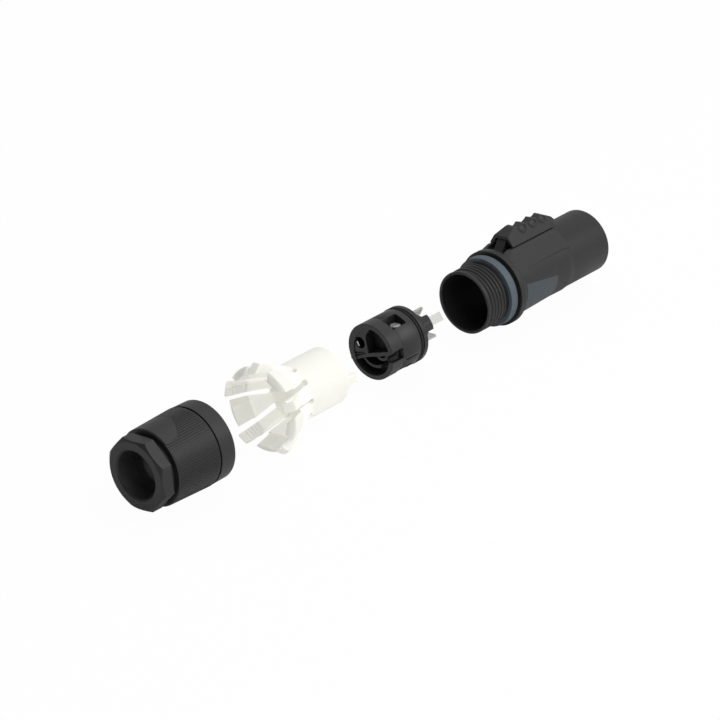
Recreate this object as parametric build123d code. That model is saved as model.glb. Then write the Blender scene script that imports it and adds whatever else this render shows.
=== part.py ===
# Cable power connector with a thumb latch, shown taken apart along its axis.
# Frame: +X is the axis toward the mating end, +Z is the latch side, millimetres.
# The origin is the centre of the barrel's mating face.
# An angle is measured from +Z toward -Y, so rot(angle) turns a piece about +X.
import math
import os
from build123d import *

os.makedirs("parts", exist_ok=True)

# Stations of the four groups along X, as they lie in the exploded view
THREAD_END = -62.45
INSERT_REAR = -108.2
SLEEVE_FRONT = -128.9
NUT_MOUTH = -183.6

# Radii that neighbouring pieces share
BARREL_R = 11.0
BARREL_BORE_R = 9.0
HOUSING_BORE_R = 9.8
INSERT_R = 9.55
INSERT_FLANGE_R = INSERT_R + 0.17
SLEEVE_R = 9.6
SLEEVE_BORE_R = 7.2
THREAD_ROOT_R = 10.35
THREAD_CREST_R = 10.8
THREAD_CLEARANCE = 0.15
THROAT_R = 6.5

# Housing stations and sizes
SHOULDER_X = -24.6
NECK_X0 = -53.0
SEAL_RING_X0 = -52.3
SEAL_RING_X1 = -49.3
NECK_R = 10.6
SEAL_RING_R = NECK_R + 1.55
FLANGE_X0 = -48.4
FLANGE_X1 = -46.0
FLANGE_R = 13.1
BODY_R = 11.6
BODY_END = -18.6
SADDLE_Z = 12.9
SADDLE_HALF = 5.1
RAIL_Z = 11.6
RAIL_HALF = 3.8
GUIDE_HALF = 1.8
GUIDE_TOP = 15.0
GUIDE_X0 = -44.0
GUIDE_X1 = -34.5
GRIP_X0 = -43.6
GRIP_X1 = -27.6
GRIP_DEPTH = 0.8
GRIP_TOP_REAR = 2.2
GRIP_TOP_FRONT = -0.4

# Thumb latch
LATCH_X0 = -41.8
LATCH_BOTTOM = 13.1
LATCH_TOP_HALF = 2.9
LATCH_BOTTOM_HALF = 5.1
LATCH_SIDE_END = -20.9
LATCH_NOSE = -17.7
LATCH_CHANNEL_END = -24.6
LATCH_CEILING = 15.3
LATCH_CLEARANCE = 0.2
TONGUE_BOTTOM = 12.0
SCOOPS = (-33.9, -28.7, -24.0)
SCOOP_Y = 3.9
SCOOP_Z = 18.2
SCOOP_R = 2.8

# Insert and its terminals; u and v run across and along a clamp screw's direction
PARTING_X = -102.7
INSERT_FRONT = -91.0
GROOVE_X0 = -94.4
GROOVE_X1 = -93.0
GROOVE_R = INSERT_R - 0.65
BOSS_END = -83.0
BOSS_FLAT = 3.9
BLADE_TIP = -78.7
BLADE_R = 5.0
BLADE_WIDTH = 3.0
BLADE_THICK = 0.8
BLADE_ANGLE = 60.0
SCREW_ANGLE = 4.0
SCREW_X = -100.25
SCREW_U = 3.75
SCREW_R = 1.3
SCREW_TIP = 4.79
SCREW_HEAD_BASE = 6.9
SCREW_HEAD_TOP = 7.7
SCREW_HEAD_R = 1.7
CAGE_X0 = -102.5
CAGE_X1 = -96.5
CAGE_HALF = 2.0
CAGE_V0 = 0.9
CAGE_V1 = 5.6
WIRE_HALF = 1.45
WIRE_V0 = 1.5
WIRE_V1 = 4.8
PLATE_V0 = 4.2
PLATE_V1 = 4.78
FOOT_X1 = -95.7
WINDOW_X0 = -103.5
WINDOW_X1 = -97.0
WINDOW_U0 = 0.72
WINDOW_U1 = 5.54
CELL_R = 8.0
FLOOR_X = -104.0
FACE_STEP = 0.3
INNER_WALL_X = -106.8
PARTING_EDGE = 0.12
LINE_ANGLE = 109.0
FIT = 0.03

# Chuck; its fingers are drawn by the distance behind the sleeve's rear
SLEEVE_REAR = -146.5
FINGER_PITCH = 72.0
FINGER_ANGLE = -1.4
SLOT_START = 0.5
STRAP_HALF = 1.8
PAD_START = 6.8
PAD_RISE = 0.234
FACET_ANGLE = 37.0
KEY_ANGLE = 90.0
KEY_HALF = 1.65

# Gland nut
NUT_LENGTH = 29.7
WRENCH_LENGTH = 4.5
WRENCH_FLAT = 11.35
NUT_FACE = NUT_MOUTH - NUT_LENGTH
NECK_REAR = NUT_FACE + WRENCH_LENGTH
RIB_X1 = NECK_REAR + 1.6
COLLAR_X = NUT_MOUTH - 6.0
RIB_X0 = COLLAR_X - 0.6
CAVITY_R = 10.6
SEAL_SEAT = RIB_X1 + 0.1
CAVITY_END = SEAL_SEAT + 0.6
SEAL_TIP = SEAL_SEAT + 3.1
SEAL_R = 8.2


def rot(angle):
    """Rotation about +X by an angle in degrees."""
    return Rot(angle, 0, 0)


def outline(points):
    """Closed wire through (a, b) or (a, b, radius) points, with true arcs at the rounded ones."""
    count = len(points)
    arcs = []
    for i in range(count):
        p = Vector(*points[i][:2])
        radius = points[i][2] if len(points[i]) > 2 else 0.0
        if radius <= 0:
            arcs.append((p, None, p))
            continue
        a = (Vector(*points[i - 1][:2]) - p).normalized()
        b = (Vector(*points[(i + 1) % count][:2]) - p).normalized()
        half = math.acos(max(-1.0, min(1.0, a.dot(b)))) / 2
        reach = radius / math.tan(half)
        centre = p + (a + b).normalized() * (radius / math.sin(half))
        middle = centre + (p - centre).normalized() * radius
        arcs.append((p + a * reach, middle, p + b * reach))
    edges = []
    for i in range(count):
        start, middle, end = arcs[i]
        if middle is not None:
            edges.append(ThreePointArc(start, middle, end))
        following = arcs[(i + 1) % count][0]
        if (following - end).length > 1e-6:
            edges.append(Line(end, following))
    return Wire(edges)


def spin(points, arc=360.0):
    """Solid of revolution about +X of an (x, r) outline."""
    face = Face(outline(points))
    return revolve(face, Axis.X, arc)


def sector(points, angle, span):
    """Part of a solid of revolution centred on an angle."""
    return rot(angle - span / 2 + 90) * spin(points, span)


def tube(x0, x1, outer, inner):
    """Plain ring between two stations."""
    return spin([(x0, inner), (x0, outer), (x1, outer), (x1, inner)])


def disc(x0, x1, radius):
    """Plain cylinder between two stations."""
    return Pos((x0 + x1) / 2, 0, 0) * Rot(0, 90, 0) * Cylinder(radius, x1 - x0)


def block(x0, x1, y0, y1, z0, z1):
    """Box between two corners."""
    centre = Pos((x0 + x1) / 2, (y0 + y1) / 2, (z0 + z1) / 2)
    return centre * Box(x1 - x0, y1 - y0, z1 - z0)


def block_at(angle, x0, x1, half, r0, r1):
    """Box that stands off the axis at an angle, centred across it."""
    return rot(angle) * block(x0, x1, -half, half, r0, r1)


def slab(k, x0, x1, u0, u1, v0, v1):
    """Box in the directions of terminal k."""
    return rot(SCREW_ANGLE + 120 * k) * block(x0, x1, -u1, -u0, v0, v1)


def disc_at(x0, x1, radius, u, v):
    """Cylinder along X at a distance u toward the viewer's right and v up."""
    return Pos(0, -u, v) * disc(x0, x1, radius)


def region(points, x0, x1):
    """Outline in u and v, thickened along X."""
    return cross_bar([(-p[0], *p[1:]) for p in points], x0, x1)


def side_plate(points, y0, y1):
    """Outline in X and Z, thickened along Y."""
    face = Plane.XZ * Face(outline(points))
    return Pos(0, y1, 0) * extrude(face, y1 - y0, dir=(0, -1, 0))


def cross_bar(points, x0, x1):
    """Outline in Y and Z, thickened along X."""
    face = Plane.YZ * Face(outline(points))
    return Pos(x0, 0, 0) * extrude(face, x1 - x0, dir=(1, 0, 0))


def plan_plate(points, z0, z1):
    """Outline in X and Y, thickened along Z."""
    face = Face(outline(points))
    return Pos(0, 0, z0) * extrude(face, z1 - z0, dir=(0, 0, 1))


def save(part, name):
    """Write one node as a single solid."""
    solids = part.solids()
    if len(solids) != 1:
        raise ValueError(f"{name} has {len(solids)} solids")
    export_step(solids[0], f"parts/{name}.step")


def saddle_section():
    """Section of the raised latch seat: a flat top with sides tangent to the body."""
    reach = math.hypot(SADDLE_HALF, SADDLE_Z)
    angle = math.atan2(SADDLE_HALF, SADDLE_Z) + math.acos(BODY_R / reach)
    side = BODY_R * math.sin(angle)
    low = BODY_R * math.cos(angle)
    return [
        (-SADDLE_HALF, SADDLE_Z, 0.5),
        (SADDLE_HALF, SADDLE_Z, 0.5),
        (side, low),
        (side * 0.8, 0),
        (-side * 0.8, 0),
        (-side, low),
    ]


def grip_region():
    """Lower shell whose upper edge falls toward the mating end."""
    shell = tube(GRIP_X0, GRIP_X1, 16, BODY_R - GRIP_DEPTH)
    upper = side_plate([
        (GRIP_X0, GRIP_TOP_REAR),
        (GRIP_X1, GRIP_TOP_FRONT),
        (GRIP_X1, 20),
        (GRIP_X0, 20),
    ], -20, 20)
    return shell - upper


def body_outer():
    """Outside of the housing between the flange and the barrel."""
    core = spin([
        (FLANGE_X1 - 0.1, 0),
        (FLANGE_X1 - 0.1, BODY_R + 0.6),
        (-44.6, BODY_R, 1.5),
        (-41.0, BODY_R, 8.0),
        (-27.0, BODY_R - 0.4, 12.0),
        (-20.8, BODY_R - 0.3, 1.0),
        (BODY_END, BARREL_R + 0.05),
        (BODY_END, 0),
    ])
    limit = spin([
        (FLANGE_X1, 0),
        (FLANGE_X1, 12.3),
        (-41.6, 14.4, 2.0),
        (-21.8, 14.4, 2.0),
        (BODY_END, BARREL_R + 0.15),
        (BODY_END, 0),
    ])
    saddle = cross_bar(saddle_section(), FLANGE_X1 - 0.1, -17.5) & limit
    return core + saddle


def housing():
    """Threaded rear, sealed neck, flange, body with latch seat and plain barrel."""
    outside = spin([
        (THREAD_END, 0),
        (THREAD_END, THREAD_CREST_R, 0.3),
        (THREAD_END + 0.9, THREAD_CREST_R),
        (THREAD_END + 1.3, THREAD_ROOT_R),
        (NECK_X0, THREAD_ROOT_R),
        (NECK_X0, NECK_R),
        (SEAL_RING_X1, NECK_R),
        (SEAL_RING_X1, BODY_R),
        (FLANGE_X0, BODY_R),
        (FLANGE_X0, FLANGE_R, 0.25),
        (FLANGE_X1, FLANGE_R, 0.25),
        (FLANGE_X1, BODY_R),
        (-44.0, BARREL_R),
        (0, BARREL_R, 0.5),
        (0, 0),
    ])
    solid = outside + body_outer()
    solid -= spin([
        (THREAD_END - 1, 0),
        (THREAD_END - 1, HOUSING_BORE_R + 1.25),
        (THREAD_END + 0.35, HOUSING_BORE_R),
        (SHOULDER_X, HOUSING_BORE_R),
        (SHOULDER_X, BARREL_BORE_R, 0.2),
        (-0.5, BARREL_BORE_R),
        (1, BARREL_BORE_R + 1.5),
        (1, 0),
    ])
    solid -= grip_region()
    # Channel for the latch, open to the front and to the rear
    solid -= block(FLANGE_X1, -16.0, -RAIL_HALF, RAIL_HALF, RAIL_Z, 20)
    guide = side_plate([
        (GUIDE_X0 - 1.1, RAIL_Z - 1.0),
        (GUIDE_X0 + 0.5, GUIDE_TOP - 2.7),
        (GUIDE_X0 + 2.6, GUIDE_TOP, 0.3),
        (GUIDE_X1, GUIDE_TOP, 0.3),
        (GUIDE_X1, RAIL_Z - 1.0),
    ], -GUIDE_HALF, GUIDE_HALF)
    return solid + guide


def grip_panel():
    """Blue-grey panel set into the lower side of the body."""
    return grip_region() & body_outer()


def seal_ring():
    """Blue-grey ring that the gland nut tightens against."""
    return spin([
        (SEAL_RING_X0, NECK_R + 0.02),
        (SEAL_RING_X0, SEAL_RING_R - 0.15, 0.3),
        (SEAL_RING_X1 - 0.02, SEAL_RING_R, 0.3),
        (SEAL_RING_X1 - 0.02, NECK_R + 0.02),
    ])


def latch_side():
    """Side view of the thumb latch: three finger ridges and a domed front."""
    return [
        (LATCH_X0, 10),
        (LATCH_X0, 16.2, 0.3),
        (-37.4, 18.0, 0.6),
        (-36.0, 18.1, 0.6),
        (-34.3, 16.9, 0.6),
        (-31.6, 17.6, 0.6),
        (-29.3, 16.7, 0.6),
        (-26.7, 17.6, 0.6),
        (-24.7, 16.9, 0.6),
        (-22.6, 17.5, 1.5),
        (-19.6, 16.2, 2.0),
        (LATCH_NOSE, 13.0, 1.0),
        (LATCH_NOSE, 10),
    ]


def latch_section():
    """Section of the thumb latch across the axis: sloping flanks under a crowned top."""
    flare = (LATCH_BOTTOM_HALF - LATCH_TOP_HALF) / (16.3 - LATCH_BOTTOM)
    low = LATCH_BOTTOM_HALF
    tip = LATCH_TOP_HALF - flare * (18.4 - 16.3)
    return [
        (-low, LATCH_BOTTOM, 0.2),
        (-tip, 18.4, 1.0),
        (tip, 18.4, 1.0),
        (low, LATCH_BOTTOM, 0.2),
    ]


def thumb_latch():
    """Sliding latch that straddles the guide rib."""
    arc_mid = (LATCH_SIDE_END + LATCH_NOSE) / 2 + 0.9
    plan = [
        (LATCH_X0, -LATCH_BOTTOM_HALF),
        (LATCH_SIDE_END, -LATCH_BOTTOM_HALF, 1.2),
        (arc_mid, -3.4, 1.5),
        (LATCH_NOSE, -1.6, 1.5),
        (LATCH_NOSE, 1.6, 1.5),
        (arc_mid, 3.4, 1.5),
        (LATCH_SIDE_END, LATCH_BOTTOM_HALF, 1.2),
        (LATCH_X0, LATCH_BOTTOM_HALF),
    ]
    shell = cross_bar(latch_section(), LATCH_X0 - 1, LATCH_NOSE + 1)
    tongue_half = RAIL_HALF - LATCH_CLEARANCE
    tongue = block(GUIDE_X1 + 0.5, LATCH_NOSE + 1, -tongue_half, tongue_half,
                   TONGUE_BOTTOM, LATCH_BOTTOM + 0.5)
    solid = (shell + tongue) & side_plate(latch_side(), -6, 6)
    solid = solid & plan_plate(plan, 9, 20)
    # Flared channel over the guide rib, then a straight one for the spring
    channel = cross_bar([
        (-4.2, 12.6),
        (-2.25, LATCH_CEILING),
        (2.25, LATCH_CEILING),
        (4.2, 12.6),
    ], LATCH_X0 - 1, GUIDE_X1 + 0.5)
    spring_well = block(GUIDE_X1 - 1, LATCH_CHANNEL_END, -2.25, 2.25, 10, LATCH_CEILING)
    solid = solid - channel - spring_well
    for x in SCOOPS:
        for side in (-1, 1):
            solid -= Pos(x, side * SCOOP_Y, SCOOP_Z) * Sphere(SCOOP_R)
    return solid


def latch_spring():
    """Return spring between the guide rib and the latch's front wall."""
    wire = 0.22
    coil = 1.25
    start = GUIDE_X1 + wire + 0.03
    length = LATCH_CHANNEL_END - GUIDE_X1 - 2 * wire - 0.06
    path = Helix(pitch=length / 6, height=length, radius=coil)
    profile = Plane(origin=path @ 0, z_dir=path % 0) * Circle(wire)
    coil_part = sweep(profile, path=path)
    return Pos(start, 0, 13.5) * Rot(0, 90, 0) * coil_part


def blade_bar(k, x0, x1, grow=0.0):
    """Flat bar of one contact."""
    half = BLADE_THICK / 2 + grow
    angle = BLADE_ANGLE + 120 * k
    return block_at(angle, x0, x1, BLADE_WIDTH / 2 + grow, BLADE_R - half, BLADE_R + half)


def foot(k, grow=0.0):
    """Flat foot by which a contact stands against its terminal."""
    return slab(k, CAGE_X1, FOOT_X1 + grow, 2.3 - grow, 5.5 + grow, 1.2 - grow, 4.9 + grow)


def window(k, x0, x1):
    """Opening over a clamp screw."""
    return slab(k, x0, x1, WINDOW_U0, WINDOW_U1, CAGE_V1, 12)


def terminal_pocket(k):
    """Room in the front moulding for one terminal, its screw and its contact."""
    u0 = SCREW_U - CAGE_HALF - FIT
    u1 = SCREW_U + CAGE_HALF + FIT
    cut = slab(k, PARTING_X - 1, CAGE_X1, u0, u1, CAGE_V0 - FIT, CAGE_V1 + FIT)
    cut += window(k, PARTING_X - 1, WINDOW_X1)
    cut += foot(k, FIT)
    return cut + blade_bar(k, CAGE_X1, INSERT_FRONT + 1, FIT)


def insert_front():
    """Front moulding with the seal groove, the flange and the three-sided boss."""
    solid = spin([
        (PARTING_X, 0),
        (PARTING_X, INSERT_R - PARTING_EDGE),
        (PARTING_X + PARTING_EDGE, INSERT_R),
        (GROOVE_X0, INSERT_R, 0.1),
        (GROOVE_X0, GROOVE_R),
        (GROOVE_X1, GROOVE_R),
        (GROOVE_X1, INSERT_FLANGE_R, 0.1),
        (INSERT_FRONT, INSERT_FLANGE_R, 0.5),
        (INSERT_FRONT, 0),
    ])
    corner = BOSS_FLAT * 2
    tri = []
    for k in range(3):
        turn = math.radians(BLADE_ANGLE + 60 + 120 * k)
        tri.append((-corner * math.sin(turn), corner * math.cos(turn), 2.0))
    solid += cross_bar(tri, INSERT_FRONT - 0.5, BOSS_END)
    for k in range(3):
        solid -= terminal_pocket(k)
    # Fine sink line with a round gate mark at its end
    solid -= block_at(LINE_ANGLE, PARTING_X + 1.3, -96.0, 0.2, INSERT_R - 0.2, 12)
    return solid - rot(LINE_ANGLE) * Pos(PARTING_X + 1.3, 0, INSERT_R) * Cylinder(0.5, 1.2)


def cover_cells():
    """The two open wire cells of the rear cover, apart by a web."""
    first = region([
        (-1.3, -0.8), (-2.0, 4.6, 1.0), (-1.2, 6.3, 1.0), (1.5, 9.0), (6.0, 10.0), (10.0, 6.0), (10.0, 2.35),
    ], INSERT_REAR - 1, FLOOR_X)
    second = region([
        (-1.4, -2.05), (10.0, 1.0), (10.0, -10.0), (-6.0, -10.0), (-9.0, -4.8),
    ], INSERT_REAR - 1, FLOOR_X)
    # The lower cell keeps a low curved wall and a round collar
    wall = sector([
        (INNER_WALL_X, 5.0),
        (INNER_WALL_X, 5.9),
        (FLOOR_X, 5.9),
        (FLOOR_X, 5.0),
    ], 193, 86)
    collar = disc_at(INNER_WALL_X - 0.3, FLOOR_X, 2.8, 3.7, 0.2)
    collar -= disc_at(INSERT_REAR - 1, FLOOR_X, 1.9, 3.7, 0.2)
    second = second - wall - collar
    limit = disc(INSERT_REAR - 1, FLOOR_X, CELL_R)
    return first & limit, second & limit


def insert_rear():
    """Rear cover with its wire cells and the notch for the chuck's key."""
    solid = spin([
        (INSERT_REAR, 0),
        (INSERT_REAR, INSERT_R, 0.25),
        (PARTING_X - PARTING_EDGE, INSERT_R),
        (PARTING_X, INSERT_R - PARTING_EDGE),
        (PARTING_X, 0),
    ])
    solid -= disc_at(INSERT_REAR - 1, INSERT_REAR + FACE_STEP, 7.6, 0.3, -0.3)
    for cell in cover_cells():
        solid -= cell
    solid -= rot(SCREW_ANGLE + 240) * disc_at(INSERT_REAR - 1, FLOOR_X, 2.0, 3.95, 3.1)
    for k in range(3):
        solid -= rot(SCREW_ANGLE + 120 * k) * disc_at(FLOOR_X - 1, PARTING_X + 1, WIRE_HALF, SCREW_U, 3.15)
        solid -= window(k, WINDOW_X0, PARTING_X + 1)
    solid -= slab(2, FLOOR_X - 1, PARTING_X + 1, SCREW_U - 0.85, SCREW_U + 1.05, 2.9, PLATE_V1 + 0.1)
    # Stepped radial ribs beside the lower cell
    solid -= block_at(256, INSERT_REAR - 1, INSERT_REAR + 0.8, 0.3, 2.6, 7.4)
    solid -= block_at(248, INSERT_REAR - 1, INSERT_REAR + 1.1, 0.3, 3.0, 7.6)
    solid += block_at(246, INSERT_REAR + 0.1, INSERT_REAR + 0.9, 0.35, INSERT_R - 0.25, INSERT_R + 0.2)
    return solid - block_at(KEY_ANGLE, INSERT_REAR - 1, -103.0, KEY_HALF + 0.15, 7.7, 12)


def insert_seal():
    """O-ring in the insert's groove."""
    minor = 0.41
    ring = Torus(GROOVE_R + minor + 0.02, minor)
    return Pos((GROOVE_X0 + GROOVE_X1) / 2, 0, 0) * Rot(0, 90, 0) * ring


def contact(k):
    """One contact: a flat blade on the foot that meets its terminal."""
    return blade_bar(k, CAGE_X1, BLADE_TIP) + foot(k)


def terminal_cage(k):
    """Terminal block with a wire hole and a tapped hole for the clamp screw."""
    cage = slab(k, CAGE_X0, CAGE_X1, SCREW_U - CAGE_HALF, SCREW_U + CAGE_HALF, CAGE_V0, CAGE_V1)
    cage -= slab(k, CAGE_X0 - 1, CAGE_X1 - 0.8, SCREW_U - WIRE_HALF, SCREW_U + WIRE_HALF, WIRE_V0, WIRE_V1)
    hole = Pos(SCREW_X, -SCREW_U, CAGE_V1) * Cylinder(SCREW_R + FIT, 3)
    return cage - rot(SCREW_ANGLE + 120 * k) * hole


def clamp_plate(k):
    """Pressure plate under the clamp screw; the third one reaches out to the rear face."""
    plate = slab(k, -102.1, -98.4, SCREW_U - 1.4, SCREW_U + 1.4, PLATE_V0, PLATE_V1)
    if k == 2:
        plate += slab(k, INSERT_REAR + 0.6, -102.0, SCREW_U - 0.75, SCREW_U + 0.95, PLATE_V0, PLATE_V1)
    return plate


def clamp_screw(k):
    """Slotted clamp screw beside the axis."""
    shaft_len = SCREW_HEAD_BASE + 0.2 - SCREW_TIP
    shaft = Pos(SCREW_X, -SCREW_U, SCREW_TIP + shaft_len / 2) * Cylinder(SCREW_R, shaft_len)
    head_len = SCREW_HEAD_TOP - SCREW_HEAD_BASE
    head = Pos(SCREW_X, -SCREW_U, SCREW_HEAD_BASE + head_len / 2) * Cylinder(SCREW_HEAD_R, head_len)
    slot = Pos(SCREW_X, -SCREW_U, SCREW_HEAD_TOP) * Box(6, 0.45, 0.9)
    return rot(SCREW_ANGLE + 120 * k) * (shaft + head - slot)


def chuck_sleeve():
    """Round sleeve of the strain relief, with the key that enters the insert."""
    solid = spin([
        (SLEEVE_REAR, SLEEVE_BORE_R),
        (SLEEVE_REAR, SLEEVE_R),
        (SLEEVE_FRONT, SLEEVE_R, 0.4),
        (SLEEVE_FRONT, SLEEVE_BORE_R),
    ])
    key = block_at(KEY_ANGLE, SLEEVE_FRONT - 1, SLEEVE_FRONT + 4.1, KEY_HALF, SLEEVE_R - 1.5, SLEEVE_R - 0.15)
    return solid + key


def behind(points):
    """Outline points whose first value is a distance behind the sleeve's rear."""
    return [(SLEEVE_REAR - p[0], *p[1:]) for p in points]


def narrow_finger():
    """Thin strap with a gripping block inside and a wedge-shaped rib outside."""
    strap = side_plate(behind([
        (-0.5, 7.8),
        (-0.5, 8.9),
        (PAD_START - 0.5, 11.5, 0.2),
        (PAD_START, 12.9, 0.3),
        (11.8, 14.1, 0.5),
        (13.9, 14.2, 0.5),
        (14.3, 12.95, 0.3),
        (PAD_START - 0.1, 10.7),
    ]), -STRAP_HALF, STRAP_HALF)
    rib = side_plate(behind([
        (-0.5, 8.5),
        (-0.5, 9.6),
        (0.3, 9.7),
        (0.7, 10.5, 0.4),
        (5.1, 12.3, 2.0),
        (8.8, 14.0, 2.0),
        (11.9, 15.7, 0.4),
        (13.1, 14.8, 0.5),
        (14.8, 13.3, 0.3),
        (14.2, 13.05),
        (PAD_START, 11.2),
    ]), -4, 4)
    # The rib narrows toward its tip, on one side more than on the other
    plan = plan_plate(behind([
        (-0.5, -2.2),
        (11.9, -STRAP_HALF),
        (15.0, -STRAP_HALF),
        (15.0, 1.3),
        (11.5, 1.3),
        (6.5, 2.0),
        (-0.5, 2.2),
    ]), 5, 20)
    return strap + (rib & plan)


def pad_facet(tilt, height):
    """Room under one facet of a wide finger's pad, its start at a height above the axis."""
    prism = side_plate(behind([
        (PAD_START, -5),
        (PAD_START, height),
        (PAD_START + 8, height + 8 * PAD_RISE),
        (PAD_START + 8, -5),
    ]), -12, 12)
    return rot(tilt) * prism


def wide_finger():
    """Petal that widens from its root to a thick pad with a faceted inner face."""
    outside = spin(behind([
        (-0.5, 0),
        (-0.5, 9.6),
        (3.0, 10.7, 2.0),
        (PAD_START, 12.9, 1.5),
        (11.9, 14.35, 0.4),
        (13.5, 11.9),
        (13.5, 0),
    ]))
    hollow = spin(behind([
        (-1.5, 0),
        (-1.5, SLEEVE_BORE_R),
        (-0.1, 7.9),
        (PAD_START, 11.0),
        (PAD_START, 0),
    ]))
    plan = plan_plate(behind([
        (-0.5, -1.6),
        (PAD_START, -3.75),
        (11.9, -4.45),
        (15.0, -4.45),
        (15.0, 4.45),
        (11.9, 4.45),
        (PAD_START, 3.75),
        (-0.5, 1.6),
    ]), 5, 20)
    petal = (outside - hollow - pad_facet(0, 10.2)) & plan
    for tilt in (-FACET_ANGLE, FACET_ANGLE):
        petal -= pad_facet(tilt, 6.76)
    return petal


def chuck_fingers():
    """Flared ring of wide and narrow fingers at the rear of the sleeve."""
    solid = tube(SLEEVE_REAR - SLOT_START, SLEEVE_REAR, SLEEVE_R, SLEEVE_BORE_R)
    reach = block(SLEEVE_REAR - 20, SLEEVE_REAR, -20, 20, -20, 20)
    narrow = narrow_finger() & reach
    wide = wide_finger() & reach
    for k in range(5):
        solid += rot(FINGER_ANGLE + FINGER_PITCH * k) * narrow
        solid += rot(FINGER_ANGLE + FINGER_PITCH * (k + 0.5)) * wide
    return solid


def wrench_prism():
    """Eight-sided rear end of the gland nut with its corners turned off."""
    corner = WRENCH_FLAT / math.cos(math.radians(22.5))
    points = []
    for k in range(8):
        turn = math.radians(22.5 + 45 * k)
        points.append((-corner * math.sin(turn), corner * math.cos(turn), 0.4))
    prism = cross_bar(points, NUT_FACE, NECK_REAR)
    turned = spin([
        (NUT_FACE, 0),
        (NUT_FACE, 10.95, 0.2),
        (NUT_FACE + 1.1, 12.4),
        (NECK_REAR, 12.4),
        (NECK_REAR, 0),
    ])
    return prism & turned


def gland_nut():
    """Clamping nut: collar, ribbed grip sleeve, neck and wrench end."""
    sleeve = spin([
        (NECK_REAR - 0.5, 0),
        (NECK_REAR - 0.5, 10.6),
        (RIB_X1, 10.6),
        (RIB_X1, 12.45, 0.25),
        (RIB_X0, 13.05, 0.1),
        (RIB_X0, 12.65),
        (COLLAR_X, 12.65),
        (COLLAR_X, 13.15, 0.1),
        (NUT_MOUTH, 13.0, 0.35),
        (NUT_MOUTH, 0),
    ])
    solid = sleeve + wrench_prism()
    bore = THREAD_CREST_R + THREAD_CLEARANCE
    solid -= spin([
        (NUT_MOUTH + 1, 0),
        (NUT_MOUTH + 1, bore + 1.6),
        (NUT_MOUTH - 0.6, bore),
        (NUT_MOUTH - 10.6, bore),
        (NUT_MOUTH - 10.6, CAVITY_R),
        (CAVITY_END, CAVITY_R, 0.8),
        (CAVITY_END, SEAL_R + 0.05),
        (SEAL_SEAT, SEAL_R + 0.05),
        (SEAL_SEAT, THROAT_R),
        (NECK_REAR - 0.2, THROAT_R),
        (NUT_FACE + 0.5, 7.9),
        (NUT_FACE - 1, 9.4),
        (NUT_FACE - 1, 0),
    ])
    return solid


def cable_seal():
    """Rubber lip seal round the cable."""
    return spin([
        (SEAL_SEAT + 0.05, THROAT_R),
        (SEAL_SEAT + 0.05, SEAL_R),
        (SEAL_TIP, SEAL_R, 0.3),
        (SEAL_TIP, THROAT_R),
    ])


save(housing(), "housing")
save(seal_ring(), "seal_ring")
save(grip_panel(), "grip_panel")
save(thumb_latch(), "thumb_latch")
save(latch_spring(), "latch_spring")
save(insert_front(), "insert_front")
save(insert_rear(), "insert_rear")
save(insert_seal(), "insert_seal")
for number in range(3):
    save(contact(number), f"contact_{number + 1}")
    save(terminal_cage(number), f"terminal_cage_{number + 1}")
    save(clamp_plate(number), f"clamp_plate_{number + 1}")
    save(clamp_screw(number), f"clamp_screw_{number + 1}")
save(chuck_sleeve(), "chuck_sleeve")
save(chuck_fingers(), "chuck_fingers")
save(gland_nut(), "gland_nut")
save(cable_seal(), "cable_seal")
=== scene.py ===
# Cable power connector, shown taken apart along its axis on a white ground.
# Frame: metres, +X is the axis toward the mating end, +Z is the thumb latch's side.
# An angle is measured from +Z toward -Y, which is toward the camera.
import math
import bmesh
import bpy
import numpy as np
from mathutils import Matrix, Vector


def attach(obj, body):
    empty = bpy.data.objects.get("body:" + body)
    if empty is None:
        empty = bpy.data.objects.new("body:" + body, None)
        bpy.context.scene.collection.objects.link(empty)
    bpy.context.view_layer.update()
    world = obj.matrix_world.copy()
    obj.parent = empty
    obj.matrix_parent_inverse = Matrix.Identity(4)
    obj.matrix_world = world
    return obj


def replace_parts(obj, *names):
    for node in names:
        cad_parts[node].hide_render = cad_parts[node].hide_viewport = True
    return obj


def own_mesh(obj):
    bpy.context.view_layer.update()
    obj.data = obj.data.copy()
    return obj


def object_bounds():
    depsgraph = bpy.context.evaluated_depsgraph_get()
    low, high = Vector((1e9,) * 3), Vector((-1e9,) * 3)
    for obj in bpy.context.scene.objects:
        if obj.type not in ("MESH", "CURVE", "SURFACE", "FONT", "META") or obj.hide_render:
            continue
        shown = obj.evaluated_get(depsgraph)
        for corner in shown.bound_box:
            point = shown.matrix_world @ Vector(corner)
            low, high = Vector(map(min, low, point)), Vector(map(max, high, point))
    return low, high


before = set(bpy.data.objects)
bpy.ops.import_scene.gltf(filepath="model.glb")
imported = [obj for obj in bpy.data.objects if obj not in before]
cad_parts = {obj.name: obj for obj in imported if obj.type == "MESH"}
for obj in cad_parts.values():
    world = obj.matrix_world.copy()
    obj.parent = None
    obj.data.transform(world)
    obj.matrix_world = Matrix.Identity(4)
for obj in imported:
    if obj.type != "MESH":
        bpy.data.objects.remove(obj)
cad_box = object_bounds()
MM = 0.001

# Sizes that repeat the CAD's named values, in millimetres and degrees
THREAD_ROOT_R = 10.35
THREAD_CREST_R = 10.8
GUIDE_X1 = -34.5
LATCH_CHANNEL_END = -24.6
INSERT_FRONT = -91.0
BLADE_R = 5.0
BLADE_ANGLE = 60.0
SLEEVE_FRONT = -128.9
SLEEVE_REAR = -146.5
SLEEVE_R = 9.6
SLEEVE_BORE_R = 7.2
KEY_ANGLE = 90.0
KEY_HALF = 1.65
FINGER_PITCH = 72.0
FINGER_ANGLE = -1.4
PAD_START = 6.8
PAD_RISE = 0.234
FACET_ANGLE = 37.0
RIB_X0 = -190.2
RIB_X1 = -207.2

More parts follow.
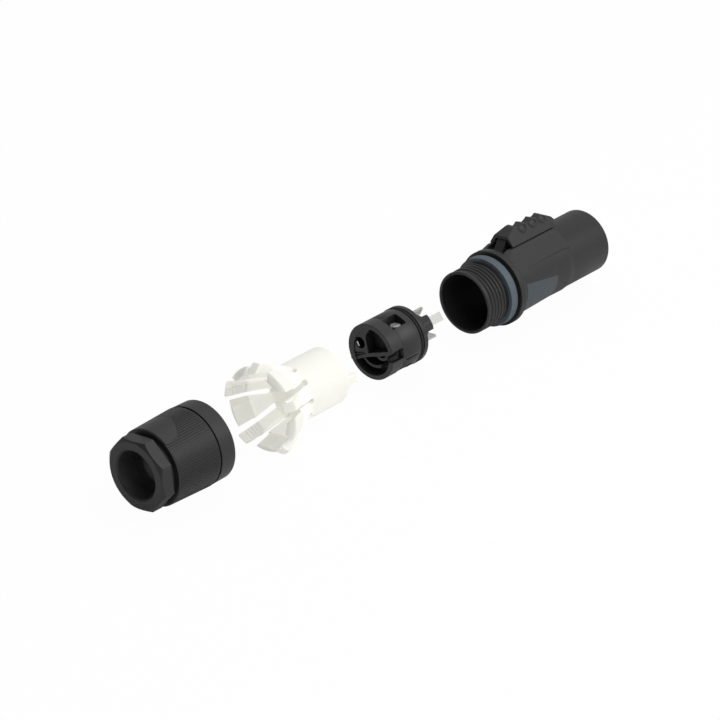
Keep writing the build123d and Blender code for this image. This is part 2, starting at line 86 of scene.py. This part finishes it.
# Sizes of the finer pieces, in millimetres and degrees
THREAD_PITCH = 1.5
THREAD_START = -60.3
THREAD_TURNS = 4.6
THREAD_FOOT = 0.62
RIB_R0 = 13.05
RIB_R1 = 12.45
RIB_COUNT = 98
TRIM_HEIGHT = 0.2
TRIM_DEPTH = 0.06
TRIM_END = RIB_X1 + 0.3
FLAT_HALF = 2.3
PAD_BASE = 10.2
NARROW_LENGTH = 14.8
WIDE_LENGTH = 13.3
SLOT_REACH = 1.5
SLOT_CENTRE = 19.6
SLOT_HALF = 6.2
KEY_LENGTH = 4.1
BOSS_END = -84.2
BOSS_EDGE = 0.25
HUB_R = 3.9
LOBE_R = 6.0
LOBE_HALF = 2.6
LOBE_FLOOR = 3.4
BLADE_SLOT_HALF = 1.54
BLADE_SLOT_DEPTH = 0.43
SPRING_Z = 13.5
SPRING_R = 1.25
SPRING_WIRE_R = 0.22
SPRING_TURNS = 6

# A mould's grain is under 0.1 mm; it is drawn at a third of a millimetre so that it shows
GRAIN = 1 / 3
GRAIN_DEPTH = 0.04

# Painted glow (emission) of the white plastic, standing in for light that passes through it: at the thick
# finger tips, along the thin straps and on the sleeve
TIP_PAINTED_GLOW = 0.24
STRAP_PAINTED_GLOW = 0.36
SLEEVE_PAINTED_GLOW = 0.25

# Camera fitted to the photograph, in metres
CAMERA_PLACE = (-0.82870, -0.70033, 0.43711)
CAMERA_RIGHT = (0.66880, -0.73821, -0.08803)
CAMERA_UP = (0.35222, 0.21036, 0.91197)
CAMERA_BACK = (-0.65471, -0.64093, 0.40070)
CAMERA_LENS = 172.26


def linear(code):
    """Linear RGBA of an sRGB colour written as #rrggbb."""
    values = []
    for i in (1, 3, 5):
        c = int(code[i:i + 2], 16) / 255
        values.append(c / 12.92 if c <= 0.04045 else ((c + 0.055) / 1.055) ** 2.4)
    return (*values, 1.0)


def shader_node(tree, kind, values=None, links=None, **settings):
    """Shader node with its settings, the values of its inputs and the outputs linked into them."""
    node = tree.nodes.new(kind)
    for key, value in settings.items():
        setattr(node, key, value)
    for key, value in (values or {}).items():
        node.inputs[key].default_value = value
    for key, output in (links or {}).items():
        tree.links.new(output, node.inputs[key])
    return node


def surface(name, colour, rough, metal=0.0, grain=0.0, specular=0.5):
    """Principled material with an optional fine moulded grain as a bump."""
    mat = bpy.data.materials.new(name)
    mat.use_nodes = True
    tree = mat.node_tree
    shader = tree.nodes["Principled BSDF"]
    shader.inputs["Base Color"].default_value = linear(colour)
    shader.inputs["Roughness"].default_value = rough
    shader.inputs["Metallic"].default_value = metal
    shader.inputs["Specular IOR Level"].default_value = specular
    if grain > 0:
        place = shader_node(tree, "ShaderNodeTexCoord")
        noise = shader_node(tree, "ShaderNodeTexNoise", {"Scale": 1 / (GRAIN * MM), "Detail": 2.0},
                            {"Vector": place.outputs["Object"]})
        bump = shader_node(tree, "ShaderNodeBump", {"Strength": grain, "Distance": GRAIN_DEPTH * MM},
                           {"Height": noise.outputs["Fac"]})
        tree.links.new(bump.outputs["Normal"], shader.inputs["Normal"])
    return mat


# Black polyamide from an eroded mould: dull, with broad soft highlights
BLACK = surface("black_polyamide", "#1c1c1d", 0.48, grain=0.25)
# The insert's polyamide comes from a smoother mould, so its highlights are tighter
BLACK_INSERT = surface("black_polyamide_satin", "#1e1e1f", 0.42, grain=0.12)
# Blue-grey polyamide of the grip panel, moulded: an even dark slate
BLUE_GREY = surface("blue_grey_polyamide", "#384147", 0.45, grain=0.2)
# Moulded silicone of the seal ring: a softer sheen than the plastics
SILICONE = surface("blue_grey_silicone", "#4e5961", 0.55, grain=0.2)
# Moulded rubber: almost no highlight
RUBBER = surface("black_rubber", "#101010", 0.7, grain=0.2)
# Stamped and silver-plated brass: bright, with slightly soft reflections
SILVER = surface("silver_plated_brass", "#c6c6c2", 0.25, metal=1.0)
# Zinc-plated steel: bright grey
STEEL = surface("zinc_plated_steel", "#c8c8c6", 0.28, metal=1.0)
# Moulded polypropylene: milky, so that light spreads in it; the light that shows through the thin straps
# is a painted glow added below
WHITE = surface("white_polypropylene_painted_glow", "#dcdbd4", 0.35, specular=0.35)


def translucent_with_painted_glow(mat):
    """Subsurface scattering, and a painted glow (emission) that stands in for light passing through the
    plastic; its strength changes along X.
    """
    tree = mat.node_tree
    shader = tree.nodes["Principled BSDF"]
    shader.inputs["Subsurface Weight"].default_value = 0.3
    shader.inputs["Subsurface Radius"].default_value = (1.0, 0.98, 0.94)
    shader.inputs["Subsurface Scale"].default_value = 0.0015
    shader.inputs["Emission Color"].default_value = linear("#f6f6f1")
    place = shader_node(tree, "ShaderNodeTexCoord")
    split = shader_node(tree, "ShaderNodeSeparateXYZ", links={0: place.outputs["Object"]})
    pad_end = SLEEVE_REAR - PAD_START
    steps = ((pad_end - 0.3, pad_end + 0.2, TIP_PAINTED_GLOW, STRAP_PAINTED_GLOW),
             (SLEEVE_REAR - 1.0, SLEEVE_REAR + 1.5, 0.0, SLEEVE_PAINTED_GLOW - STRAP_PAINTED_GLOW))
    shares = [shader_node(tree, "ShaderNodeMapRange",
                          {"From Min": start * MM, "From Max": end * MM, "To Min": low, "To Max": high},
                          {"Value": split.outputs["X"]}) for start, end, low, high in steps]
    total = shader_node(tree, "ShaderNodeMath", links={0: shares[0].outputs["Result"],
                                                       1: shares[1].outputs["Result"]})
    # Painted glow: this emission strength, set by x, brightens the tips, the straps and the sleeve
    tree.links.new(total.outputs[0], shader.inputs["Emission Strength"])


translucent_with_painted_glow(WHITE)


def paint(node, material):
    """Give a CAD node one material."""
    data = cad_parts[node].data
    data.materials.clear()
    data.materials.append(material)


def around(x, r, angle):
    """Points in metres at x, y = -r sin(angle), z = r cos(angle), from millimetres and degrees."""
    turn = np.radians(angle)
    return np.stack(np.broadcast_arrays(x, -r * np.sin(turn), r * np.cos(turn)), axis=-1) * MM


def across(x, side, height, centre):
    """Points in metres of a section drawn at +Z, side toward -Y, and turned to its centre angle."""
    turn = math.radians(centre)
    y = -(side * math.cos(turn) + height * math.sin(turn))
    z = height * math.cos(turn) - side * math.sin(turn)
    return np.stack(np.broadcast_arrays(x, y, z), axis=-1) * MM


def grid_faces(rows, cols, close_rows=False, close_cols=False):
    """Quads of a grid of points stored row by row."""
    i, j = np.meshgrid(np.arange(rows if close_rows else rows - 1),
                       np.arange(cols if close_cols else cols - 1), indexing="ij")
    ahead = (i + 1) % rows
    beside = (j + 1) % cols
    quads = [i * cols + j, i * cols + beside, ahead * cols + beside, ahead * cols + j]
    return np.stack(quads, axis=-1).reshape(-1, 4).tolist()


def end_faces(rows, cols):
    """Faces that close the first and the last row of a grid of points."""
    last = (rows - 1) * cols
    return [list(range(cols)), list(range(last, last + cols))]


def add(name, points, faces, material, body, smooth=30.0):
    """New piece of the object from an array of points and its faces, with faces turned outwards."""
    mesh = bpy.data.meshes.new(name)
    mesh.from_pydata(points.reshape(-1, 3).tolist(), [], faces)
    work = bmesh.new()
    work.from_mesh(mesh)
    bmesh.ops.recalc_face_normals(work, faces=work.faces)
    work.to_mesh(mesh)
    work.free()
    mesh.shade_smooth()
    mesh.set_sharp_from_angle(angle=math.radians(smooth))
    mesh.materials.append(material)
    obj = bpy.data.objects.new(name, mesh)
    bpy.context.scene.collection.objects.link(obj)
    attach(obj, body)
    return obj


def housing_thread():
    """Screw ridge: at turn t and profile offset d, x = THREAD_START + THREAD_PITCH t + d, angle = 360 t.

    The height above the root fades in and out over the first and last sixth of a turn."""
    steps = int(THREAD_TURNS * 72)
    root_r = THREAD_ROOT_R - 0.02
    crest = THREAD_FOOT * 0.42
    offset = np.array([-THREAD_FOOT, -crest, crest, THREAD_FOOT, 0.0])
    height = np.array([0.0, 1.0, 1.0, 0.0, -0.3])
    t = (THREAD_TURNS * np.arange(steps + 1) / steps)[:, None]
    fade = np.minimum(1.0, 6 * np.minimum(t, THREAD_TURNS - t))
    x = THREAD_START + THREAD_PITCH * t + offset * np.maximum(fade, 0.25)
    r = root_r + (THREAD_CREST_R - root_r) * height * np.where(height > 0, fade, 1.0)
    faces = grid_faces(steps + 1, 5, close_cols=True) + end_faces(steps + 1, 5)
    return add("housing_thread", around(x, r, 360 * t), faces, BLACK, "housing_body")


def sleeve_radius(x):
    """Radius of the nut's grip sleeve, which tapers evenly from RIB_R0 at RIB_X0 to RIB_R1 at RIB_X1."""
    share = (x - RIB_X1) / (RIB_X0 - RIB_X1)
    return RIB_R1 + (RIB_R0 - RIB_R1) * share


# Front edge of the nut's smooth pad as (angle, x)
PAD_EDGE = np.array([(-40.0, -206.9), (-38.0, -202.0), (-34.0, -199.0), (-28.0, -198.0), (6.0, -197.2),
                     (20.0, -199.0), (30.0, -200.4), (37.0, -201.6), (39.5, -203.4), (40.5, -206.9)])
RIB_GAP = 0.15


def pad_front(angle):
    """Where the smooth pad ends toward the mouth, straight between the points of its edge.

    Beside the pad it is RIB_GAP behind the ribs' rear ends."""
    turn = (angle + 180) % 360 - 180
    beside = TRIM_END - RIB_GAP
    return np.interp(turn, PAD_EDGE[:, 0], PAD_EDGE[:, 1], left=beside, right=beside)


def nut_ribs():
    """Straight grip ribs all round the nut, shortened where the smooth pad is.

    Each is a four-cornered section that is carried along X and falls to the sleeve at both ends."""
    foot = 1.15
    crest = 0.6
    run_out = 0.2
    angle = 360.0 * np.arange(RIB_COUNT) / RIB_COUNT
    rear = pad_front(angle) + RIB_GAP
    front = np.full(RIB_COUNT, RIB_X0 - RIB_GAP)
    x = np.stack([rear, rear + run_out, front - run_out, front], axis=1)[:, :, None]
    rise = np.array([0.0, TRIM_HEIGHT, TRIM_HEIGHT, 0.0])[:, None]
    lift = np.where([False, True, True, False], rise, -TRIM_DEPTH)
    corners = np.array([-foot, -crest, crest, foot])
    points = around(x, sleeve_radius(x) + lift, angle[:, None, None] + corners)
    rib = np.array(grid_faces(4, 4, close_cols=True) + end_faces(4, 4))
    faces = (rib + 16 * np.arange(RIB_COUNT)[:, None, None]).reshape(-1, 4).tolist()
    return add("nut_ribs", points, faces, BLACK, "nut_body", smooth=20)


def nut_pad():
    """Smooth raised pad: a grid of angle and x up to pad_front, above the sleeve and closed below."""
    rows = 12
    angle = np.linspace(PAD_EDGE[0, 0] + 0.1, PAD_EDGE[-1, 0] - 0.1, 61)[:, None]
    x = TRIM_END + (pad_front(angle) - TRIM_END) * np.arange(rows) / (rows - 1)
    points = np.stack([around(x, sleeve_radius(x) + layer, angle) for layer in (TRIM_HEIGHT, -TRIM_DEPTH)])
    index = np.arange(x.size).reshape(x.shape)
    rim = np.concatenate([index[:, 0], index[-1, 1:], index[-2::-1, -1], index[0, -2:0:-1]])
    ahead = np.roll(rim, -1)
    top = np.array(grid_faces(*x.shape))
    wall = np.stack([rim, ahead, ahead + x.size, rim + x.size], axis=-1)
    faces = np.concatenate([top, top + x.size, wall]).tolist()
    return add("nut_pad", points, faces, BLACK, "nut_body")


def rounded(before, p, after, reach):
    """Curve (1-t)^2 A + 2t(1-t) P + t^2 B at t = 0, 1/3, 2/3, 1 that rounds the corner P.

    A and B lie on the two edges at the given reach from P, or at 0.4 of a shorter edge."""
    ends = []
    for edge in (before - p, after - p):
        length = np.linalg.norm(edge, axis=-1, keepdims=True)
        ends.append(p + edge * np.minimum(reach / np.maximum(length, 1e-9), 0.4))
    a, b = ends
    return [(1 - t) ** 2 * a + 2 * t * (1 - t) * p + t * t * b for t in (0, 1 / 3, 2 / 3, 1)]


def eased(points, reach):
    """Open outline whose inner corners are rounded."""
    points = np.array(points, float)
    out = [points[0]]
    for before, p, after in zip(points, points[1:], points[2:]):
        out += rounded(before, p, after, reach)
    return np.array(out + [points[-1]])


def loft(name, stations, section, round_corners, centre):
    """Piece through cross-sections, turned to its centre angle.

    section(d) gives its corners as (side, height), each for every station d, where x = SLEEVE_REAR - d.
    The numbered corners are rounded by 0.25 mm."""
    d = np.array(stations)
    corners = section(d)
    ring = []
    for k, p in enumerate(corners):
        after = corners[(k + 1) % len(corners)]
        ring += rounded(corners[k - 1], p, after, 0.25) if k in round_corners else [p]
    ring = np.stack(ring, axis=1)
    points = across((SLEEVE_REAR - d)[:, None], ring[..., 0], ring[..., 1], centre)
    rows, cols = ring.shape[:2]
    faces = grid_faces(rows, cols, close_cols=True) + end_faces(rows, cols)
    return add(name, points, faces, WHITE, "chuck_body", smooth=36)


def gripping_line():
    """Inner line of a narrow finger: line 10.7 + 0.296 (d - 6.7) with five grooves 0.3 mm deep."""
    points = [(0, 8.0), (6.7, 10.7)]
    for k in range(5):
        d = 8.0 + 1.1 * k
        line = 10.7 + 0.296 * (d - 6.7)
        points += [(d - 0.3, line - 0.09), (d, line + 0.3), (d + 0.3, line + 0.09)]
    return points + [(14.3, 12.95), (NARROW_LENGTH, 13.2)]


# Outlines of the fingers: a radius or a half width for each distance behind the sleeve
NARROW_CURVES = {
    "inner": eased(gripping_line(), 0.12),
    "crest": eased([(0, 8.0), (6.7, 10.7), (14.3, 12.95), (NARROW_LENGTH, 13.2)], 0.12),
    "strap": eased([(0, 9.1), (6.3, 11.5), (6.8, 12.9), (11.8, 14.1), (13.9, 14.2), (14.3, 13.1),
                    (NARROW_LENGTH, 13.22)], 0.3),
    "rib": eased([(0, 9.65), (0.3, 9.7), (0.8, 10.5), (5.1, 12.3), (8.8, 14.0), (11.9, 15.7), (13.1, 14.8),
                  (NARROW_LENGTH, 13.3)], 0.5),
    "half": eased([(0, 1.8), (14.2, 1.8), (NARROW_LENGTH, 1.3)], 0.2),
    "lower": eased([(0, 2.2), (6.5, 2.0), (11.5, 1.3), (NARROW_LENGTH, 1.25)], 0.2),
    "upper": eased([(0, 2.2), (11.9, 1.82), (NARROW_LENGTH, 1.78)], 0.2),
}
WIDE_CURVES = {
    "outer": eased([(0, 9.77), (3.0, 10.7), (PAD_START, 12.9), (11.9, 14.35), (WIDE_LENGTH, 12.21)], 0.6),
    "inner": eased([(0, 7.95), (PAD_START, 11.0), (WIDE_LENGTH, 13.9)], 0.1),
    "half": eased([(0, 1.75), (PAD_START, 3.75), (11.9, 4.45), (WIDE_LENGTH, 4.45)], 0.3),
}


def curves_at(curves, d):
    """Values of all outlines at the distances d behind the sleeve."""
    return {key: np.interp(d, line[:, 0], line[:, 1]) for key, line in curves.items()}


def narrow_section(d):
    """Strap with a rib outside: seven corners as (side, height).

    The teeth stop 0.4 mm short of the side on which the rib is chamfered."""
    now = curves_at(NARROW_CURVES, d)
    half = now["half"]
    strap = np.maximum(now["strap"], now["inner"] + 0.05)
    foot = np.minimum(strap, now["rib"] - 0.03)
    side = [-half, 0.4 - half, half, now["upper"], -now["lower"], -now["lower"], -half]
    height = [now["crest"], now["inner"], now["inner"], now["rib"], now["rib"], foot, strap]
    return np.stack([side, height], axis=-1)


def pad_height(d, side):
    """Height of a wide finger's inner face.

    A cone as far as PAD_START, then a flat and a facet turned by FACET_ANGLE on each side of it."""
    cone = np.sqrt(curves_at(WIDE_CURVES, d)["inner"] ** 2 - side ** 2)
    facet = math.radians(FACET_ANGLE)
    rise = np.maximum(0.0, np.abs(side) - FLAT_HALF) * math.tan(facet)
    slope = np.where(rise > 0, PAD_RISE / math.cos(facet), PAD_RISE)
    return np.where(d < PAD_START, cone, PAD_BASE + slope * (d - PAD_START) + rise)


def wide_section(d):
    """Petal with a round outside and a three-sided inside: sixteen corners as (side, height).

    Its half width is the first one, in steps of 0.02 mm inward, at which the edge is 0.08 mm thick."""
    now = curves_at(WIDE_CURVES, d)
    outer = now["outer"]
    widths = now["half"] - 0.02 * np.arange(220)[:, None]
    thick = np.sqrt(outer ** 2 - widths ** 2) - pad_height(d, widths)
    first = np.argmax((thick >= 0.08) | (widths <= 0.2), axis=0)
    half = np.take_along_axis(widths, first[None], axis=0)[0]
    flat = np.minimum(FLAT_HALF, half * 0.8)
    below = np.stack([-half, -flat, 0 * half, flat, half])
    above = half * np.linspace(1, -1, 11)[:, None]
    side = np.concatenate([below, above])
    height = np.concatenate([pad_height(d, below), np.sqrt(outer ** 2 - above ** 2)])
    return np.stack([side, height], axis=-1)


def finger_stations(curves, last):
    """Every station where an outline bends, with a largest step of 0.7 mm."""
    marks = sorted({round(float(d), 3) for line in curves.values() for d in line[:, 0] if d <= last})
    stations = [marks[0]]
    for d in marks[1:]:
        start = stations[-1]
        steps = max(1, math.ceil((d - start) / 0.7))
        if d - start > 0.015:
            stations += [start + (d - start) * k / steps for k in range(1, steps + 1)]
    return stations


def finger(index):
    """One finger of the chuck, which the closing nut presses inward."""
    centre = FINGER_ANGLE + FINGER_PITCH / 2 * index
    number = index // 2 + 1
    if index % 2 == 0:
        stations = finger_stations(NARROW_CURVES, NARROW_LENGTH)
        obj = loft(f"finger_narrow_{number}", stations, narrow_section, (0, 2, 3, 4, 5, 6), centre)
    else:
        stations = finger_stations(WIDE_CURVES, WIDE_LENGTH)
        # Two stations close together make the step from the cone to the flat
        step = stations.index(min(stations, key=lambda d: abs(d - PAD_START)))
        stations[step:step + 1] = [PAD_START - 0.02, PAD_START + 0.02]
        obj = loft(f"finger_wide_{number}", sorted(stations), wide_section, (0, 4, 5, 15), centre)
    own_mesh(obj)
    return obj


def root_end(angle):
    """How far behind the sleeve's rear the ring ends: slots with round ends reach into the sleeve.

    In a slot, at the share s of its half width, it is -SLOT_REACH + 0.9 (1 - sqrt(1 - s^2))."""
    between = (angle - FINGER_ANGLE) % FINGER_PITCH - FINGER_PITCH / 2
    offset = FINGER_PITCH / 2 - np.abs(between)
    share = np.minimum(np.abs(offset - SLOT_CENTRE) / SLOT_HALF, 1.0)
    return np.where(share < 1, -SLOT_REACH + 0.9 * (1 - np.sqrt(1 - share ** 2)), 0.3)


def chuck_tube():
    """Sleeve: an outline of distance behind SLEEVE_REAR and radius, turned about X.

    Its rear end follows root_end."""
    steps = 720
    angle = 360 * np.arange(steps) / steps
    front = SLEEVE_REAR - SLEEVE_FRONT
    end = root_end(angle)
    bore = SLEEVE_BORE_R + 0.5 * (end + SLOT_REACH)
    outline = [(front, SLEEVE_R - 0.4), (front + 0.12, SLEEVE_R - 0.12), (front + 0.4, SLEEVE_R),
               (-SLOT_REACH - 0.3, SLEEVE_R), (end - 0.12, SLEEVE_R), (end, SLEEVE_R - 0.12),
               (end, bore + 0.1), (end - 0.1, bore), (-SLOT_REACH - 0.2, SLEEVE_BORE_R),
               (front + 0.15, SLEEVE_BORE_R), (front, SLEEVE_BORE_R + 0.15)]
    d = np.stack([point[0] + 0 * angle for point in outline], axis=1)
    r = np.stack([point[1] + 0 * angle for point in outline], axis=1)
    faces = grid_faces(steps, len(outline), close_rows=True, close_cols=True)
    return add("chuck_tube", around(SLEEVE_REAR - d, r, angle[:, None]), faces, WHITE, "chuck_body")


def chuck_key():
    """Key on the sleeve's front that enters the insert's notch: a bar with an eased tip."""
    front = SLEEVE_REAR - SLEEVE_FRONT
    tip = front - KEY_LENGTH

    def section(d):
        """Rectangle that is 0.25 mm smaller all round at the tip."""
        shrink = np.where(d == tip, 0.25, 0.0)
        half = KEY_HALF - shrink
        low = SLEEVE_R - 1.5 + shrink
        high = SLEEVE_R - 0.15 - shrink
        return np.stack([[-half, half, half, -half], [low, low, high, high]], axis=-1)
    return loft("chuck_key", [front + 1, tip + 0.25, tip], section, range(4), KEY_ANGLE)


def chuck():
    """Sleeve and ten fingers in place of the CAD's sleeve and finger ring."""
    for piece in (chuck_tube(), chuck_key()):
        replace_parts(piece, "chuck_sleeve")
    for index in range(10):
        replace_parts(finger(index), "chuck_fingers")


def insert_shell():
    """Front moulding: a copy of the CAD's mesh cut at its flat front face, closed there."""
    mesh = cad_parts["insert_front"].data.copy()
    mesh.name = "insert_shell"
    work = bmesh.new()
    work.from_mesh(mesh)
    bmesh.ops.remove_doubles(work, verts=work.verts, dist=1e-7)
    cut = bmesh.ops.bisect_plane(work, geom=work.verts[:] + work.edges[:] + work.faces[:], dist=1e-8,
                                 plane_co=((INSERT_FRONT + 0.01) * MM, 0, 0), plane_no=(1, 0, 0),
                                 clear_outer=True)
    rim = [e for e in cut["geom_cut"] if isinstance(e, bmesh.types.BMEdge)]
    bmesh.ops.triangle_fill(work, edges=rim, use_beauty=True, normal=(1, 0, 0))
    work.to_mesh(mesh)
    work.free()
    mesh.materials.clear()
    mesh.materials.append(BLACK_INSERT)
    obj = bpy.data.objects.new("insert_shell", mesh)
    bpy.context.scene.collection.objects.link(obj)
    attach(obj, "insert_body")
    return obj


def boss_lobe(k):
    """Lobe round contact k: an outline about the blade's section, joined by a ring to the blade's slot.

    Rays from the blade's middle, side 0 and height BLADE_R, meet the slot, which is 2 BLADE_SLOT_HALF by
    2 BLADE_SLOT_DEPTH, and the outline |side| <= LOBE_HALF between the height LOBE_FLOOR and the arc of
    radius LOBE_R about the axis. Outline and slot take turns as rows at three stations."""
    steps = 48
    i = np.arange(steps)
    c = np.cos(2 * math.pi * i / steps)
    n = np.sin(2 * math.pi * i / steps)
    wide = np.maximum(np.abs(c), 1e-6)
    slot = np.minimum(BLADE_SLOT_HALF / wide, BLADE_SLOT_DEPTH / np.maximum(np.abs(n), 1e-6))
    arc = -BLADE_R * n + np.sqrt(LOBE_R ** 2 - (BLADE_R * c) ** 2)
    floor = (BLADE_R - LOBE_FLOOR) / np.maximum(-n, 1e-6)
    edge = np.minimum(LOBE_HALF / wide, np.minimum(arc, floor))
    reach = np.stack([edge, slot, edge, slot, edge - 0.2, slot])
    x = np.repeat([INSERT_FRONT - 0.1, BOSS_END - BOSS_EDGE, BOSS_END], 2)[:, None]
    points = across(x, reach * c, BLADE_R + reach * n, BLADE_ANGLE + 120 * k)
    j = (i + 1) % steps
    strips = [np.stack([a * steps + i, a * steps + j, b * steps + j, b * steps + i], axis=-1)
              for a, b in ((0, 2), (2, 4), (1, 3), (3, 5), (0, 1), (4, 5))]
    return add(f"contact_boss_{k + 1}", points, np.concatenate(strips).tolist(), BLACK_INSERT,
               "insert_body", smooth=35)


def boss_hub():
    """Round hub between the lobes: a profile of x and radius turned about X."""
    steps = 48
    profile = np.array([(INSERT_FRONT - 0.1, HUB_R), (BOSS_END - BOSS_EDGE, HUB_R),
                        (BOSS_END, HUB_R - BOSS_EDGE)])
    points = around(profile[:, :1], profile[:, 1:], 360 * np.arange(steps) / steps)
    faces = grid_faces(len(profile), steps, close_cols=True) + end_faces(len(profile), steps)
    return add("contact_hub", points, faces, BLACK_INSERT, "insert_body", smooth=35)


def insert():
    """Front moulding whose boss has a lobe round each contact, in place of the CAD's."""
    for piece in (insert_shell(), boss_hub(), boss_lobe(0), boss_lobe(1), boss_lobe(2)):
        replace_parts(piece, "insert_front")


def latch_spring():
    """Return spring from the guide rib to the latch's front wall: a circle carried along a helix.

    Its middle line is y = SPRING_R sin t, z = SPRING_Z + SPRING_R cos t, and x rises evenly with t."""
    steps = SPRING_TURNS * 32
    ring = 8
    start = GUIDE_X1 + 0.25
    length = LATCH_CHANNEL_END - GUIDE_X1 - 0.5
    rise = length / (2 * math.pi * SPRING_TURNS)
    t = 2 * math.pi * SPRING_TURNS * np.arange(steps + 1) / steps
    level = 0 * t
    out = np.stack([level, np.sin(t), np.cos(t)], axis=-1)
    along = np.stack([level + rise, SPRING_R * np.cos(t), -SPRING_R * np.sin(t)], axis=-1)
    side = np.cross(along / np.linalg.norm(along, axis=-1, keepdims=True), out)
    middle = np.stack([start + rise * t, level, level + SPRING_Z], axis=-1) + SPRING_R * out
    a = (2 * math.pi * np.arange(ring) / ring)[:, None]
    circle = np.cos(a) * out[:, None] + np.sin(a) * side[:, None]
    faces = grid_faces(steps + 1, ring, close_cols=True) + end_faces(steps + 1, ring)
    obj = add("return_spring", (middle[:, None] + SPRING_WIRE_R * circle) * MM, faces, STEEL,
              "housing_body", smooth=60)
    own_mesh(obj)
    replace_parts(obj, "latch_spring")


def placed(obj, right, up, back, place):
    """Link an object to the scene with its three axes and its place."""
    matrix = Matrix.Identity(4)
    for i, axis in enumerate((right, up, back, place)):
        for j in range(3):
            matrix[j][i] = float(axis[j])
    obj.matrix_world = matrix
    bpy.context.scene.collection.objects.link(obj)


def light(name, place, target, size, power):
    """Soft white area light aimed at a point."""
    data = bpy.data.lights.new(name, "AREA")
    data.shape = "RECTANGLE"
    data.size = size[0]
    data.size_y = size[1]
    data.energy = power
    back = np.array(place) - np.array(target)
    back = back / np.linalg.norm(back)
    right = np.cross((0, 0, 1), back)
    right = right / np.linalg.norm(right)
    placed(bpy.data.objects.new(name, data), right, np.cross(back, right), back, place)


def studio():
    """Soft light from above and from the camera's side, in a white room."""
    centre = (-0.105, 0.0, 0.0)
    light("key", (0.04, -0.65, 0.45), centre, (0.9, 0.5), 3.3)
    light("top", (0.0, -0.1, 0.8), centre, (0.8, 0.6), 1.8)
    world = bpy.data.worlds.new("white_studio")
    world.use_nodes = True
    tree = world.node_tree
    ambient = tree.nodes["Background"]
    ambient.inputs["Color"].default_value = (1, 1, 1, 1)
    # The room is darker toward -X, behind the cable end
    place = shader_node(tree, "ShaderNodeTexCoord")
    split = shader_node(tree, "ShaderNodeSeparateXYZ", links={0: place.outputs["Generated"]})
    side = shader_node(tree, "ShaderNodeMapRange",
                       {"From Min": -0.8, "From Max": 0.6, "To Min": 0.22, "To Max": 0.62},
                       {"Value": split.outputs["X"]})
    tree.links.new(side.outputs["Result"], ambient.inputs["Strength"])
    seen = shader_node(tree, "ShaderNodeBackground", {"Color": (1, 1, 1, 1), "Strength": 1.0})
    path = shader_node(tree, "ShaderNodeLightPath")
    mix = shader_node(tree, "ShaderNodeMixShader", links={0: path.outputs["Is Camera Ray"],
                                                          1: ambient.outputs[0], 2: seen.outputs[0]})
    tree.links.new(mix.outputs[0], tree.nodes["World Output"].inputs["Surface"])
    bpy.context.scene.world = world


def camera():
    """Camera at the photograph's place and angle."""
    lens = bpy.data.cameras.new("camera")
    lens.lens = CAMERA_LENS
    lens.clip_start = 0.05
    lens.clip_end = 20.0
    holder = bpy.data.objects.new("camera", lens)
    placed(holder, CAMERA_RIGHT, CAMERA_UP, CAMERA_BACK, CAMERA_PLACE)
    bpy.context.scene.camera = holder
    bpy.context.scene.view_settings.view_transform = "Standard"


def ground():
    """Pale floor under the lowest piece: white paper that keeps the object's shadow."""
    floor = cad_box[0][2] - 0.0005
    half = 3.0
    mesh = bpy.data.meshes.new("floor")
    corners = [(-half, -half, floor), (half, -half, floor), (half, half, floor), (-half, half, floor)]
    mesh.from_pydata(corners, [], [(0, 1, 2, 3)])
    mat = bpy.data.materials.new("white_paper")
    mat.use_nodes = True
    tree = mat.node_tree
    shader = tree.nodes["Principled BSDF"]
    shader.inputs["Base Color"].default_value = (0.9, 0.9, 0.9, 1)
    shader.inputs["Roughness"].default_value = 1.0
    shader.inputs["Specular IOR Level"].default_value = 0.0
    glow = shader_node(tree, "ShaderNodeEmission", {"Strength": 1.0})
    path = shader_node(tree, "ShaderNodeLightPath")
    share = shader_node(tree, "ShaderNodeMath", {1: 0.97}, {0: path.outputs["Is Camera Ray"]},
                        operation="MULTIPLY")
    mix = shader_node(tree, "ShaderNodeMixShader", links={0: share.outputs[0], 1: shader.outputs[0],
                                                          2: glow.outputs[0]})
    tree.links.new(mix.outputs[0], tree.nodes["Material Output"].inputs["Surface"])
    mesh.materials.append(mat)
    obj = bpy.data.objects.new("floor", mesh)
    bpy.context.scene.collection.objects.link(obj)


for node in ("housing", "thumb_latch", "gland_nut"):
    paint(node, BLACK)
paint("insert_rear", BLACK_INSERT)
paint("grip_panel", BLUE_GREY)
paint("seal_ring", SILICONE)
for node in ("insert_seal", "cable_seal"):
    paint(node, RUBBER)
for number in (1, 2, 3):
    paint(f"contact_{number}", SILVER)
    paint(f"terminal_cage_{number}", SILVER)
    paint(f"clamp_plate_{number}", STEEL)
    paint(f"clamp_screw_{number}", STEEL)

housing_thread()
nut_ribs()
nut_pad()
chuck()
insert()
latch_spring()
ground()
studio()
camera()
